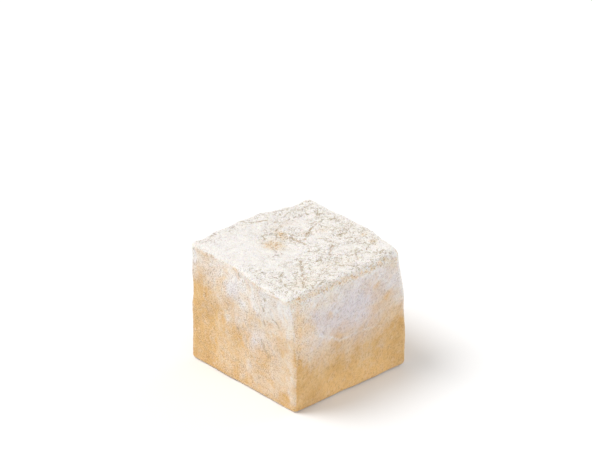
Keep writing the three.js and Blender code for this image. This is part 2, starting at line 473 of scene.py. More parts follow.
@dataclass(frozen=True)
class PowderCoat:
    """The clinging coat of sugar powder, laid over the block's skin.

    Marks are placed on the finished cube, standing on its base. On a side, a mark adds powder, and one of
    negative strength takes it away.

    Attributes:
        plate_size, plate_height: of the plates that the top's layer has broken into.
        lump_size, lump_height: of the coat's lumps.
        crumb_size, crumb_height: of its crumbs.
        crack_depth, hole_depth: how far cracks and bare spots sink in.
        drag_height: how far the blade's drags stand out.
        ridge_height: how far the ridges across the front stand out.
        film_height: how far a full film stands out of the bare gel.
        film_rise: heights at which the film on the front and back begins and is full.
        face_film: how much powder that film holds where it is full.
        flank_film: how much the film on the left and right holds low down, and what it gains higher up.
        flank_patches, face_patches: sizes of the films' patches.
        flank_flakes, face_flakes: sizes of their flakes along each axis.
        flank_drags, face_drags: sizes of the blade's drags along each axis; on the faces they run aslant.
        broken_patches: size of the parts of the top that have plates.
        top_cracks, left_cracks, right_cracks: cracks and pinholes.
        top_marks, left_marks, front_marks, back_marks, right_marks: where there is more powder or less.
        smooth_places: parts of the top without grit.
        front_ridges: ridges of powder across the front.
        cool_marks: where the powder is the finest, and where, of negative strength, it is coarser.
        heavy_edges, bare_edges, rubbed_edges: edges thick with powder (down the front's right edge also a
            painted highlight), without it, and rubbed to grains.
        crusted_edges: edges where a crust stands up.
    """

    plate_size: float = 4.2
    plate_height: float = 0.06
    lump_size: float = 2.2
    lump_height: float = 0.04
    crumb_size: float = 0.8
    crumb_height: float = 0.045
    crack_depth: float = 0.14
    hole_depth: float = 0.25
    drag_height: float = 0.05
    ridge_height: float = 0.14
    film_height: float = 0.1
    film_rise: tuple[float, float] = (5.0, 24.0)
    face_film: float = 0.93
    flank_film: tuple[float, float] = (0.31, 0.58)
    flank_patches: float = 5.0
    face_patches: float = 6.0
    flank_flakes: Triple = (3.2, 3.2, 4.6)
    face_flakes: Triple = (1.8, 3.0, 3.4)
    flank_drags: Triple = (1.3, 1.3, 5.0)
    face_drags: Triple = (1.1, 4.0, 9.0)
    broken_patches: float = 7.0
    top_cracks: tuple[Blot | Stroke, ...] = (
        *strokes(
            (0.4, 1, (-4.5, -6.4, 28.6), (-7.6, -10.2, 29), (-11.8, -15.1, 29.4)),
            (0.32, 0.7, (-3.2, -6.1, 28.7), (-1, -7.6, 29.1), (3.1, -9.3, 29.1), (6.2, -9.1, 29.2)),
            (0.38, 1, (2.2, 5.5, 28.6), (2.5, 3.8, 28.6), (2.3, 1.5, 28.8), (2.1, 0.4, 28.9)),
            (0.36, 0.95, (3.9, 2.3, 29), (5.3, 3.6, 29), (7.5, 5.1, 29), (12.3, 6.4, 29.2)),
            (0.34, 0.9, (7.7, -2.5, 29.1), (5.6, -4.8, 29.4), (2.5, -7.3, 29.3)),
            (0.38, 0.95, (10.5, -1.1, 29.1), (12.7, -2, 29.5)),
            (0.36, 0.95, (7.3, -11.1, 29.1), (5.9, -13, 29.2)),
            (0.34, 0.9, (10.4, -10.7, 29.2), (11.7, -9.9, 29.4), (12.9, -9.6, 29.6)),
            (0.34, 0.85, (0.6, -3.1, 29), (1.8, -1, 28.9)),
            (0.34, 0.8, (-4.2, -5.6, 28.6), (-2, -2.6, 28.7), (0.4, -2.4, 28.9)),
            (0.34, 0.8, (2.4, 3.2, 28.7), (5.8, 1, 28.9), (8.6, -1.4, 29.1)),
            (0.32, 0.65, (-0.6, 7.8, 28.9), (2.2, 5.6, 28.7)),
            (0.38, 0.95, (-0.6, 15.1, 30), (2.2, 13.3, 30)),
            (0.34, 0.9, (8.5, 12, 29.2), (12.5, 11, 29.2)),
        ),
        *blots(  # pinholes
            (5.6, -4.8, 29.4, 0.36, 0.36, 1, 1), (-1, -7.6, 29.1, 0.3, 0.3, 1, 1),
            (-8.3, -3.1, 28.9, 0.3, 0.3, 1, 1), (14.5, 5.1, 29.5, 0.45, 0.45, 1, 0.9),
            (14, -9.2, 29.8, 0.5, 0.5, 1, 0.6),
        ),
    )
    top_marks: tuple[Blot, ...] = blots(
        (-3, 5, 28.8, 1.4, 1.4, 2, -0.8), (1.3, 7.6, 28.9, 0.7, 1.1, 2, -0.45),
        (9.5, 2.6, 29.2, 1.3, 0.7, 2, -0.15), (6, 4.2, 29, 0.8, 0.5, 2, -0.2),
        (14.4, -5.5, 29.8, 0.45, 0.45, 1.5, -0.4), (14, -9.2, 29.8, 0.6, 0.6, 1.5, -0.3),
        (-10, -12.8, 29.2, 2.5, 1.6, 2, -0.14), (1.5, -11.5, 29.2, 5, 1.6, 2, -0.08),
        (4, 10.5, 29, 3, 1, 2, -0.1), (11, -3, 29.3, 5, 4.5, 3, -0.03),
    )
    smooth_places: tuple[Blot, ...] = blots(
        (-11, 6.5, 29, 5, 6, 3, 1.4), (8.5, 9.5, 29.2, 4, 2.2, 3, 0.9),
        (-2.4, -0.8, 28.9, 2.2, 1.4, 3, 0.9), (5.4, 1.2, 29, 1.7, 1.5, 3, 0.9),
        (8.4, -7.2, 29.3, 1.9, 1.3, 3, 0.9), (-2, 12.5, 29.4, 4.5, 1.8, 3, 0.7),
        (1.5, -14.6, 29, 2.6, 0.8, 2, 0.8), (15.2, -14, 29, 1.8, 1.6, 2, 1),
    )
    left_marks: tuple[Blot | Stroke, ...] = (
        *blots(  # white patches and bald places
            (-17.6, 1.6, 23.9, 3, 2, 2.2, 0.2), (-17.6, 3.2, 16.8, 3, 0.5, 0.6, 0.35),
            (-17.6, 1.2, 16.6, 3, 2, 1.6, 0.18), (-17.1, -5.3, 14.9, 3, 1.2, 2.2, 0.42),
            (-17.1, -7.8, 16.4, 3, 1.4, 1.8, 0.32), (-17, -9.4, 13.2, 3, 1.9, 2.2, 0.22),
            (-16.5, -13.8, 9.8, 3, 2, 2.4, 0.12), (-17.4, -4.5, 6.5, 3, 4.5, 3, 0.07),
            (-17.4, -2.5, 7.5, 3, 1.1, 2, 0.14), (-17.6, 8.3, 18.2, 3, 1.2, 1.2, 0.12),
            (-17.6, 3.6, 7.2, 3, 1.2, 1.2, 0.12), (-17.6, 2.8, 20.3, 3, 1.5, 1.3, -0.22),
            (-17.6, -1, 12.4, 3, 1.8, 2, -0.14), (-16.4, -13, 18.4, 3, 1.6, 2.2, -0.14),
            (-17.6, 13.6, 23.4, 3, 1.4, 1.6, -0.22), (-17.6, 6.6, 23.8, 3, 1.3, 1.3, -0.16),
            (-17.6, 14, 15.6, 3, 1.4, 2, -0.12), (-17.6, -4.6, 19.6, 3, 1.7, 1.2, -0.18),
            (-17.6, 11.8, 12.5, 3, 2, 4, -0.12), (-17.5, -5.7, 25.4, 3, 1.3, 1.8, 0.14),
            (-17.3, -7.8, 19.9, 3, 0.9, 0.9, 0.2), (-17.2, 13.8, 27.4, 3, 1.4, 1.6, 0.2),
            (-17.2, 6.2, 26.3, 3, 1, 0.8, 0.16), (-17.2, 0.2, 28.2, 3, 2.4, 0.8, -0.16),
            (-17.4, 5.6, 24.3, 3, 0.9, 0.7, -0.14), (-17.5, 8.1, 20.8, 3, 1.2, 1, 0.12),
            (-17.3, -5.3, 18.9, 3, 1, 0.8, -0.14), (-17.6, 14.4, 7.2, 3, 1.3, 2, -0.2),
            (-17.5, 5.8, 12, 3, 1.4, 1.4, 0.13), (-16.4, -15.1, 20.6, 2, 1, 1, -0.14),
            (-16.6, -9.4, 10.4, 3, 1.2, 1, -0.12), (-16.4, -13, 8.9, 3, 1.6, 0.9, 0.13),
            (-16.3, -14.1, 5.4, 3, 1.2, 2, -0.24), (-17.2, -11.5, 24, 3, 2.5, 2, 0.12),
            (-17.2, -9.7, 15.6, 3, 1, 1, -0.12), (-17.4, 8.5, 27.6, 3, 2.5, 0.9, -0.13),
            (-17.4, -4, 28.2, 3, 2.5, 0.8, -0.11), (-17.6, 11, 24.6, 3, 1.2, 1, -0.12),
            (-17.5, -5.6, 21.6, 3, 1, 1, -0.1), (-17.4, -2.7, 17.8, 3, 1, 1, -0.1),
            (-16.4, -14.7, 16.4, 2, 0.9, 1.9, 0.12), (-16.6, -14.5, 19, 2, 2, 5, -0.1),
        ),
        *strokes(  # drawn by the blade, and along the near edge
            (0.4, -0.16, (-17, 6.4, 26.8), (-17.3, 5.3, 25.2), (-17.6, 3, 21.6)),
            (0.22, 0.25, (-17.9, -10, 27), (-17.2, -9, 18.9)),
            (0.6, 0.24, (-17.3, -15.6, 27.5), (-16.4, -16, 23), (-16.1, -15.8, 11), (-15.9, -15.4, 1)),
        ),
    )
    left_cracks: tuple[Stroke, ...] = strokes(
        (0.36, 0.9, (-17.9, -9.5, 27), (-17.2, -8.8, 22), (-16.9, -8.5, 18.9)),
        (0.38, 1, (-16.9, -10.9, 21.8), (-16.7, -13.3, 20.5)),
        (0.4, 1.05, (-17.3, -2.4, 13.1), (-17.3, -3, 10.3)),
        (0.4, 1.05, (-16.9, -7.5, 15.5), (-16.7, -8.2, 12.7), (-16.4, -9.2, 11)),
        (0.42, 1, (-17.5, 0.1, 15.1), (-17.3, -0.7, 13.6)),
        (0.34, 0.9, (-17.5, 4.4, 20.5), (-17.6, 3, 18.6)),
        (0.32, 0.8, (-17.2, -5.8, 24.6), (-17.3, -5.4, 21.4)),
    )
    front_marks: tuple[Blot | Stroke, ...] = (
        *blots(  # films of the finest powder, patches and bald places
            (1, -17, 19.5, 5, 3, 3.6, 0.12), (-9, -17, 22.2, 1.3, 3, 1.1, 0.12),
            (-7.6, -17, 18.8, 1.2, 3, 1.4, 0.2), (-1.5, -16.5, 11, 3.5, 3, 1.5, 0.1),
            (2.6, -16.5, 17.6, 2.2, 3, 1.3, 0.22), (-5.7, -16.9, 21.2, 0.7, 3, 0.5, -0.4),
            (-2.6, -16.5, 15, 1.1, 3, 0.45, -0.25), (8.9, -16.2, 23.2, 0.9, 3, 0.55, -0.5),
            (12.1, -16.4, 19.6, 0.9, 3, 0.9, -0.45), (13.4, -16.3, 19.8, 1, 3, 1.2, -0.1),
            (14.5, -16.4, 13.5, 2, 3, 2, -0.15), (-12.6, -17.2, 17.5, 2.4, 3, 2, 0.03),
            (-6.5, -17, 25, 3, 3, 1.4, -0.17), (7.6, -16.2, 27.6, 1.8, 3, 0.9, 0.2),
            (-3.6, -16.8, 27, 1, 3, 0.6, 0.14), (8.4, -16.4, 25.1, 0.9, 3, 0.7, -0.14),
            (8.4, -16.4, 17.6, 1.2, 3, 0.8, -0.12), (4.8, -16.5, 7.5, 5, 3, 1.4, 0.13),
            (3.6, -16.5, 11.9, 2, 3, 1, 0.1), (-8.6, -16.9, 9.2, 1.6, 3, 1.4, 0.09),
            (-1.1, -16.6, 28.3, 1.6, 3, 0.7, -0.14), (-8.3, -16.8, 28.5, 1.6, 3, 0.7, -0.1),
            (-1, -16.4, 12.6, 3, 3, 1.6, -0.1), (-16, -17, 21, 0.9, 2, 2, -0.16),
            (-10.3, -17, 21, 1.8, 3, 1.8, -0.14), (-13.9, -17.2, 19, 1.1, 3, 1.1, 0.2),
            (10.6, -16.4, 18.2, 2.6, 3, 1, -0.16), (0.5, -16.8, 20.8, 2.5, 3, 1.6, 0.1),
            (-12, -16.9, 6.5, 3.5, 3, 4, -0.15), (12.5, -16.4, 8.5, 3, 3, 3, -0.07),
            (-1.2, -16.4, 6.3, 1.8, 3, 1.5, -0.08), (10, -16.4, 3.8, 4, 3, 1.8, 0.05),
            (12.2, -16.4, 10.5, 3, 3, 6, -0.05), (-14.9, -17.2, 22.8, 1.5, 3, 4.8, -0.34),
            (-12.2, -17.2, 20.9, 1.9, 3, 1.2, -0.28), (8.4, -16.3, 21.3, 1.2, 3, 2, -0.2),
            (5.8, -16.5, 24, 1, 3, 0.8, -0.24), (13.3, -16, 26, 1.3, 3, 0.9, -0.2),
            (13.5, -16, 26.6, 0.7, 3, 0.6, -0.2),
        ),
        *strokes(
            (0.3, 0.22, (-14, -17.2, 27.3), (-4, -16.9, 27.2), (8, -16.3, 27.1)),
            (0.9, -0.12, (15.8, -16.5, 12.5), (16.3, -16.6, 7)),
        ),
    )
    front_ridges: tuple[Stroke, ...] = strokes(
        (0.4, 0.35, (-11.4, -17.5, 19.1), (-8.2, -17.1, 17.2), (-5, -16.5, 15.3)),
        (0.42, 0.75, (-5, -16.5, 15.3), (-3.4, -16.3, 14.1), (-2.2, -16.3, 13.3), (-0.7, -16.4, 13.3)),
        (0.42, 0.6, (-0.7, -16.4, 13.3), (2.2, -16.4, 13), (4, -16.6, 13.6), (8.1, -16.6, 13.4)),
        (0.34, 0.3, (-2.4, -16.4, 13.8), (0.6, -16.4, 14.4), (4.4, -16.5, 14.9)),
    )
    back_marks: tuple[Blot | Stroke, ...] = (
        *blots(
            (5, 17, 19, 5, 3, 4, 0.14), (-9.5, 17, 15.5, 2.4, 3, 3, 0.2),
            (-3, 17, 21.5, 1.4, 3, 1, -0.3), (11.5, 17, 13, 1.8, 3, 1.6, -0.25),
            (-13, 17, 22, 1.2, 3, 1.2, -0.3), (1, 17, 9, 4, 3, 1.5, 0.14),
        ),
        *strokes((0.3, 0.22, (-12, 17, 11.5), (-4, 17, 13.2), (6, 17, 12))),
    )
    right_marks: tuple[Blot | Stroke, ...] = (
        *blots(
            (17.6, -10, 12, 4, 4, 7, -0.28), (17.6, 1, 22, 3, 2.4, 3, 0.2),
            (17.6, 7.5, 15, 3, 1.5, 4.2, 0.3), (17.6, -3, 16, 3, 1.2, 1.6, 0.3),
            (17.6, 12.5, 9, 3, 1.1, 3, -0.25), (17.6, 3, 8, 3, 2.4, 2.4, -0.15),
        ),
        *strokes((0.22, 0.2, (17.6, 5, 24), (17.6, 4.2, 13))),
    )
    right_cracks: tuple[Stroke, ...] = strokes(
        (0.36, 1, (17.5, 1.6, 15), (17.4, 2.2, 12.6)), (0.36, 1, (17.5, 5.4, 12.5), (17.4, 6.6, 9.6)),
        (0.34, 0.9, (17.6, -6.4, 21), (17.6, -5.6, 18.4)),
        (0.3, 0.8, (17.6, 9.5, 26.5), (17.6, 8.6, 20)),
    )
    cool_marks: tuple[Blot, ...] = blots(
        (1.5, -17, 18.5, 6, 4, 4.8, 1), (-9, -17, 22, 2, 4, 2, 0.45), (-8, -17, 26, 5, 4, 2.2, -0.45),
        (-17.6, 2, 24, 4, 2.4, 2.8, 0.45), (-17.4, -11.5, 24.5, 4, 4, 3, -0.35),
        (-17.1, -5.4, 14.8, 4, 1.8, 4.2, 0.4), (-17.6, 0.4, 16.6, 4, 1.6, 2, 0.45),
        (5, 17, 20, 6, 4, 5, 0.55), (17.6, 1, 22, 4, 3, 3.2, 0.45), (17.6, 7.5, 15, 4, 1.8, 4.2, 0.35),
    )
    heavy_edges: tuple[Blot | Stroke, ...] = (
        *strokes(
            (0.75, 0.9, (-17.6, -15.6, 29.5), (-17.2, -6, 29.8), (-16.2, 6, 29.9), (-16.9, 15.6, 29.9)),
            (0.7, 0.6, (-17.2, 16.4, 29.4), (-4, 17.6, 30), (17, 16.2, 29.4)),
            (0.7, 0.6, (17.6, 15.8, 29.2), (18, -2, 29.8), (16.8, -11, 29.4)),
            # down the front's right edge: thick white powder, which also serves as a painted highlight line
            (0.46, 1.1, (15.3, -15.3, 28.2), (15.8, -15.6, 25.5), (16.4, -16, 21.5), (16.9, -16.4, 17.5)),
            (0.4, 0.35, (16.9, -16.4, 17.5), (17.1, -16.8, 3)),
            (0.6, 0.3, (16.9, 16.2, 28), (17.2, 16.6, 16)),
            (0.6, 0.3, (-17.4, 16, 28), (-17.6, 16.4, 14)),
        ),
        *blots((13.9, -13.8, 29.4, 1.2, 0.9, 0.8, 0.7)),
    )
    bare_edges: tuple[Stroke, ...] = strokes(
        (0.32, 0.65, (-17.6, -14, 28.6), (-17.8, -5, 28.8), (-16.9, 1, 28.8), (-16.8, 8, 28.8)),
        (0.36, 0.5, (-17.4, 9, 28.7), (-17.4, 14, 28.6)),
        (0.5, 0.3, (-15.4, -17.4, 26), (-14.8, -17.5, 17), (-14.4, -17.3, 6)),
    )
    rubbed_edges: tuple[Stroke, ...] = strokes(
        (0.85, 0.7, (-15, -16.9, 28.2), (-6, -16.7, 28)),
        (0.85, 1, (-6, -16.7, 28), (0.5, -16.5, 28), (10.5, -15.9, 28)),
        (1, 0.7, (11.5, -15.8, 28), (15, -15.5, 27.2)), (0.8, 0.7, (-12, 17.2, 28.6), (-2, 18, 29)),
    )
    crusted_edges: tuple[Stroke, ...] = strokes(
        (0.9, 0.15, (-16.8, -16.5, 29.1), (-4, -16.2, 29), (4, -15.7, 29), (13, -14.9, 28.8)),
        (0.8, 0.18, (-17.3, -14, 29), (-17, 5, 29.1), (-16.8, 15, 29.1)),
    )

    def _top(self, points: np.ndarray, lumps: np.ndarray, crumbs: np.ndarray) -> Coat:
        """The thick cracked layer on the top.

        Args:
            points: points on the block's skin, standing on its base.
            lumps: coarse noise there, about -1 to 1.
            crumbs: fine noise there, about -1 to 1.

        Returns:
            The coat, as it would be if all the points lay there.
        """
        wandering = shaky(points, 1.4, 0.4, 1)
        gap = cell_gaps(shaky(points, 2.4, 0.9, 2), self.plate_size, 1)
        broken = smooth_step(-0.1, 0.5, cloud(points, self.broken_patches, 2, 8))
        smooth = np.clip(total(self.smooth_places, shaky(points, 3.0, 1.0, 7)), 0, 1)
        crack = total(self.top_cracks, wandering).clip(0, 1)
        holes = np.clip(1.5 * total(self.top_marks, shaky(points, 1.2, 0.45, 3)), -0.62, 0.0)
        relief = self.lump_height * lumps + self.crumb_height * crumbs * (1.2 - smooth)
        relief += self.plate_height * smooth_step(0.0, 0.8, gap) * broken - self.crack_depth * crack**2
        relief += self.hole_depth * holes
        return Coat(
            relief,
            cover=1.0 + holes - 0.08 * crack**2,
            cool=0.05 + 0.12 * smooth + 0.2 * lumps,
            painted_glow=np.zeros(len(points)),
            grit=(0.55 + 0.35 * lumps) * (1 - 0.75 * smooth) - 0.9 * holes,
            pitted=np.clip((0.75 + 0.9 * lumps) * (1 - 0.88 * smooth) - 0.8 * holes, 0.08, 1),
            crack=crack,
        )

    def _flanks(self, points: np.ndarray, out: np.ndarray, lumps: np.ndarray, crumbs: np.ndarray) -> Coat:
        """The granular film on the left and right sides, dragged down by the blade.

        Args:
            points: points on the block's skin, standing on its base.
            out: the directions out of the block there.
            lumps: coarse noise there, about -1 to 1.
            crumbs: fine noise there, about -1 to 1.

        Returns:
            The coat, as it would be if all the points lay there.
        """
        _, y, z = points.T
        left, right = smooth_step(*SIDE, -out[:, 0]), smooth_step(*SIDE, out[:, 0])
        far = left * smooth_step(-2.0, 13.0, y) + right * smooth_step(2.0, -13.0, y)
        rough, ragged = shaky(points, 2.4, 1.0), shaky(points, 1.3, 0.6, 1)
        drags = cloud(points, self.flank_drags, 3, 4)
        patches = cloud(points, self.flank_patches, 3, 3)
        crack = left * total(self.left_cracks, ragged) + right * total(self.right_cracks, ragged)
        low_film, gain = self.flank_film
        film = low_film - 0.22 * far - 0.2 * smooth_step(3.5, 0.0, z)
        rise = (z + patches - 12.0 - 6.0 * far) / (15.0 - 5.5 * far)
        film += (gain + 0.1 * far) * smooth_step(0.0, 1.0, rise)
        film += left * total(self.left_marks, rough) + right * total(self.right_marks, rough)
        flakes = smooth_step(-0.07, 0.07, cloud(points, self.flank_flakes, 3, 12)) - 0.5
        film += 0.16 * flakes + 0.05 * patches + 0.06 * drags + 0.15 * lumps + 0.08 * crumbs
        relief = self.drag_height * drags + self.crumb_height * crumbs + 0.05 * lumps
        relief -= self.crack_depth * crack**2
        # painted glow on the sides, stronger low down in their middle
        low = smooth_step(17.0, 8.0, z) * smooth_step(0.0, 4.0, z) * smooth_step(12.5, 6.5, np.abs(y))
        return Coat(
            relief + self.film_height * (film - 0.5),
            cover=film,
            cool=0.07 + 0.3 * patches,
            painted_glow=0.16 + 0.3 * low,
            grit=0.48 + 0.2 * patches - 0.22 * smooth_step(-9.0, -14.0, y) * left,
            pitted=np.zeros(len(points)),
            crack=crack,
        )

    def _faces(self, points: np.ndarray, out: np.ndarray, lumps: np.ndarray, crumbs: np.ndarray) -> Coat:
        """The thin smooth film on the front and back, drawn aslant by the blade, with bare gel below.

        Args:
            points: points on the block's skin, standing on its base.
            out: the directions out of the block there.
            lumps: coarse noise there, about -1 to 1.
            crumbs: fine noise there, about -1 to 1.

        Returns:
            The coat, as it would be if all the points lay there.
        """
        x, _, z = points.T
        front, back = smooth_step(*SIDE, -out[:, 1]), smooth_step(*SIDE, out[:, 1])
        slant = points.copy()
        slant[:, 0], slant[:, 2] = x - z, x + z
        drags = cloud(slant, self.face_drags, 4, 5)
        patches = cloud(points, self.face_patches, 3, 3)
        rough = shaky(points, 1.6, 0.6)
        ridge = front * total(self.front_ridges, shaky(points, 1.8, 0.6, 6)).clip(0, 1)
        uneven = front * 1.6 * patches + back * 5.0 * patches
        film = self.face_film * smooth_step(*self.film_rise, z + uneven)
        film += front * total(self.front_marks, rough) + back * total(self.back_marks, rough)
        flakes = smooth_step(-0.1, 0.1, cloud(slant, self.face_flakes, 3, 12)) - 0.5
        film += 0.06 * drags + 0.12 * lumps + 0.04 * crumbs + 0.08 * flakes + 0.4 * ridge
        relief = 0.8 * self.drag_height * drags + 0.5 * self.crumb_height * crumbs + 0.04 * lumps
        # painted glow low in the middle of the front and high near its left edge
        near_left, low = smooth_step(-7.0, -14.0, x), smooth_step(9.0, 1.0, z)
        middle = smooth_step(-11.0, -5.0, x) * smooth_step(20.0, 9.0, x)
        return Coat(
            relief + self.ridge_height * ridge,
            cover=film,
            cool=0.3 + 0.2 * patches - 0.5 * ridge,
            painted_glow=low * middle + near_left * smooth_step(13.0, 19.0, z),
            grit=0.18 + 0.3 * smooth_step(-5.0, -14.0, x) * smooth_step(8.0, 16.0, z),
            pitted=np.zeros(len(points)),
            crack=np.zeros(len(points)),
        )

    def _base(self, points: np.ndarray, lumps: np.ndarray) -> Coat:
        """The pressed film on the underside.

        Args:
            points: points on the block's skin, standing on its base.
            lumps: coarse noise there, about -1 to 1.

        Returns:
            The coat, as it would be if all the points lay there.
        """
        patches = cloud(points, self.flank_patches, 3, 9)
        return Coat(
            np.zeros(len(points)),
            cover=0.6 + 0.2 * patches + 0.1 * lumps,
            cool=np.full(len(points), 0.3),
            # painted glow all over the underside
            painted_glow=np.full(len(points), 0.5),
            grit=np.full(len(points), 0.6),
            pitted=np.full(len(points), 0.2),
            crack=np.zeros(len(points)),
        )

    def lay(self, points: np.ndarray, out: np.ndarray) -> Coat:
        """Lays the coat.

        Args:
            points: points on the block's skin, standing on its base.
            out: the directions out of the block there.

        Returns:
            The coat at those points.
        """
        lumps, crumbs = cloud(points, self.lump_size, 4, 1), cloud(points, self.crumb_size, 3, 2)
        up, down = smooth_step(*FACING, out[:, 2]), smooth_step(*FACING, -out[:, 2])
        across = smooth_step(0.6, 0.8, np.abs(out[:, 0]) / np.hypot(out[:, 0], out[:, 1]).clip(1e-6))
        shares = (up, (1 - up - down) * across, (1 - up - down) * (1 - across), down)
        parts = (
            self._top(points, lumps, crumbs),
            self._flanks(points, out, lumps, crumbs),
            self._faces(points, out, lumps, crumbs),
            self._base(points, lumps),
        )
        laid = {
            name: sum(share * getattr(part, name) for share, part in zip(shares, parts))
            for name in ("relief", *Coat.layers)
        }
        ragged = shaky(points, 1.0, 0.22, 5)
        heavy = np.clip(total(self.heavy_edges, ragged), 0, 1)
        bare, rubbed = total(self.bare_edges, ragged), np.clip(total(self.rubbed_edges, ragged), 0, 1)
        laid["cover"] += heavy * (0.45 + 0.3 * crumbs) - 0.5 * bare - rubbed * (0.2 + 0.55 * crumbs)
        laid["relief"] += heavy * (0.06 + 0.04 * crumbs) - 0.1 * bare + rubbed * (0.03 + 0.12 * crumbs)
        laid["relief"] += total(self.crusted_edges, points)
        laid["grit"] += 0.5 * rubbed - 0.2 * heavy
        # painted glow brightens the rubbed edges
        laid["painted_glow"] += 0.6 * rubbed
        laid["pitted"] += 0.45 * rubbed + 0.3 * bare - 0.9 * heavy
        laid["cool"] += total(self.cool_marks, shaky(points, 2.4, 1.0)) - rubbed - 0.5 * heavy
        laid["relief"] *= np.minimum(1.0, 1.0 + out[:, 2])
        return Coat(laid["relief"], **{name: np.clip(laid[name], 0, 1) for name in Coat.layers})


class Skin:
    """The cube's dressed body: a fine mesh of the block with the coat's relief, and the coat as attributes.

    Attributes:
        name: the piece's name.
        cuts: how many rows of points divide each face.
    """

    name: str = "powdered_cube"
    cuts: int = 127

    def __init__(self, block: CutBlock, coat: PowderCoat) -> None:
        """Keeps the block and the coat."""
        self.block = block
        self.coat = coat
        self.points = np.zeros((0, 3))
        self.quads = np.zeros((0, 4), int)
        self.out = np.zeros((0, 3))
        self.laid: Coat | None = None

    def build(self, finish: bpy.types.Material) -> bpy.types.Object:
        """Makes the mesh and dresses it.

        Args:
            finish: its material.

        Returns:
            The new object.
        """
        bm = bmesh.new()
        bmesh.ops.create_cube(bm, size=2.0)
        bmesh.ops.subdivide_edges(bm, edges=bm.edges[:], cuts=self.cuts, use_grid_fill=True)
        mesh = bpy.data.meshes.new(self.name)
        bm.to_mesh(mesh)
        bm.free()
        rows = np.empty(len(mesh.vertices) * 3)
        mesh.vertices.foreach_get("co", rows)
        points, out = self.block.skin(rows.reshape(-1, 3))
        self.laid = self.coat.lay(points, out)
        self.points, self.out = points + out * self.laid.relief[:, None], out
        self.quads = np.empty(len(mesh.polygons) * 4, int)
        mesh.polygons.foreach_get("vertices", self.quads)
        self.quads = self.quads.reshape(-1, 4)
        mesh.vertices.foreach_set("co", (self.points * MM).ravel())
        for name in Coat.layers:
            layer = mesh.attributes.new(name, "FLOAT", "POINT")
            layer.data.foreach_set("value", getattr(self.laid, name))
        mesh.polygons.foreach_set("use_smooth", np.ones(len(mesh.polygons), bool))
        return placed(self.name, mesh, finish)


